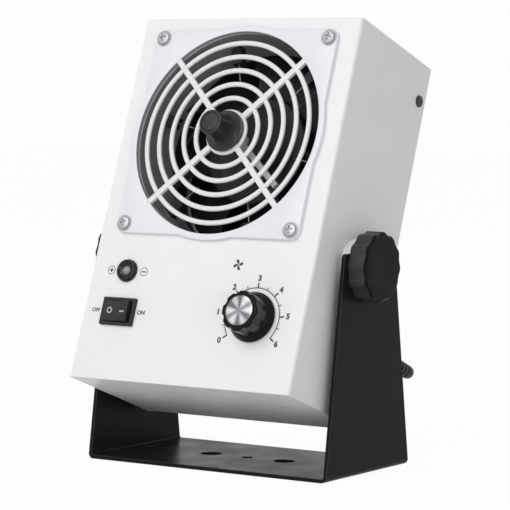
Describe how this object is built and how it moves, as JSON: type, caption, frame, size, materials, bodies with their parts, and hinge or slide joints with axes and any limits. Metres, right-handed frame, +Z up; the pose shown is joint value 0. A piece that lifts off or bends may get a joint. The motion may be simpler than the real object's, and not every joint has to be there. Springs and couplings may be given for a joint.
{
  "type": "ionizing blower",
  "caption": "Bench-top ionizing air blower: a white sheet-metal fan box with a round grille, tilting in a black U-shaped stand between two clamp knobs.",
  "frame": {"origin": "on the bench, at the middle of the underside of the stand's base", "axes": "+Z up, front panel and air outlet towards -Y, +X to the right of someone who faces the front"},
  "size_m": [0.1726, 0.1449, 0.2373],
  "materials": {
    "black_powder": "fine black powder coat, satin",
    "white_powder": "smooth white powder coat, satin",
    "grille_paint": "pale grey paint, satin",
    "black_moulding": "satin black moulding",
    "black_gloss": "glossy black moulding",
    "fan_plastic": "glossy black glass-filled moulding",
    "knob_plastic": "satin black knob moulding",
    "grey_moulding": "light grey moulding",
    "white_nylon": "natural white nylon",
    "nylon_bristle": "pale nylon filament",
    "plated_steel": "bright zinc plate",
    "black_screw": "black oxide",
    "pin_metal": "ground tungsten",
    "copper_winding": "enamelled copper wire",
    "guard_wire": "bright nickel plate",
    "lamp_lens": "clear diffused lens",
    "brass": "bare brass",
    "spun_aluminium": "spun aluminium, fine turning lines",
    "soft_black": "soft black moulding",
    "board_green": "green solder mask",
    "potting_black": "black potting case",
    "module_yellow": "yellow tape-wound transformer",
    "capacitor_blue": "blue film sleeve",
    "terminal_green": "green terminal block"
  },
  "bodies": {
    "stand": {"stand": "black_powder"},
    "housing": {"tilt_spacers": "white_nylon", "axis_nuts": "plated_steel", "front_shell": "white_powder", "rear_shell": "white_powder", "side_screws": "black_screw", "front_grille": "grille_paint", "grille_bolts": "plated_steel", "grille_washers": "plated_steel", "fan_nuts": "plated_steel", "emitter_frame": "black_gloss", "emitter_pins": "pin_metal", "fan_frame": "black_gloss", "fan_stator": "copper_winding", "fan_bearings": "plated_steel", "rear_guard": "guard_wire", "guard_screws": "plated_steel", "guard_nuts": "plated_steel", "lamp_bezel": "black_gloss", "lamp": "lamp_lens", "switch_body": "black_moulding", "switch_terminals": "brass", "speed_control": "plated_steel", "speed_control_nut": "plated_steel", "cord_relief": "soft_black", "relief_nut": "black_moulding", "circuit_board": "board_green", "board_pillars": "brass", "board_screws": "plated_steel", "high_voltage_module": "potting_black", "power_module": "module_yellow", "capacitors": "capacitor_blue", "terminal_block": "terminal_green"},
    "left_clamp": {"left_clamp_knob": "black_moulding", "left_clamp_stud": "plated_steel"},
    "right_clamp": {"right_clamp_knob": "black_moulding", "right_clamp_stud": "plated_steel"},
    "brush": {"brush_knob": "black_moulding", "brush_shaft": "plated_steel", "brush_arm": "grey_moulding", "brush_bristles": "nylon_bristle"},
    "impeller": {"fan_impeller": "fan_plastic", "fan_shaft": "plated_steel"},
    "rocker": {"switch_rocker": "black_moulding"},
    "dial": {"speed_shaft": "plated_steel", "speed_knob": "knob_plastic", "speed_knob_cap": "spun_aluminium"}
  },
  "joints": [
    {"name": "housing_tilt", "type": "hinge", "parent": "stand", "child": "housing", "pos_m": [0, -0.0045, 0.1085], "axis": [1, 0, 0], "range_deg": [-60, 60]},
    {"name": "left_clamp_turn", "type": "hinge", "parent": "housing", "child": "left_clamp", "pos_m": [-0.08, -0.0045, 0.1085], "axis": [-1, 0, 0], "range_deg": [0, 360]},
    {"name": "right_clamp_turn", "type": "hinge", "parent": "housing", "child": "right_clamp", "pos_m": [0.08, -0.0045, 0.1085], "axis": [1, 0, 0], "range_deg": [0, 360]},
    {"name": "brush_turn", "type": "hinge", "parent": "housing", "child": "brush", "pos_m": [0, -0.02067, 0.17664], "axis": [0, -0.9397, 0.342], "continuous": true},
    {"name": "fan_spin", "type": "hinge", "parent": "housing", "child": "impeller", "pos_m": [0, -0.02067, 0.17664], "axis": [0, -0.9397, 0.342], "continuous": true},
    {"name": "power_rocker", "type": "hinge", "parent": "housing", "child": "rocker", "pos_m": [-0.0454, -0.05511, 0.08201], "axis": [0, 0.342, 0.9397], "range_deg": [0, 16]},
    {"name": "speed_turn", "type": "hinge", "parent": "housing", "child": "dial", "pos_m": [0.0389, -0.0545, 0.0837], "axis": [0, 0.9397, -0.342], "range_deg": [-130, 130]}
  ]
}
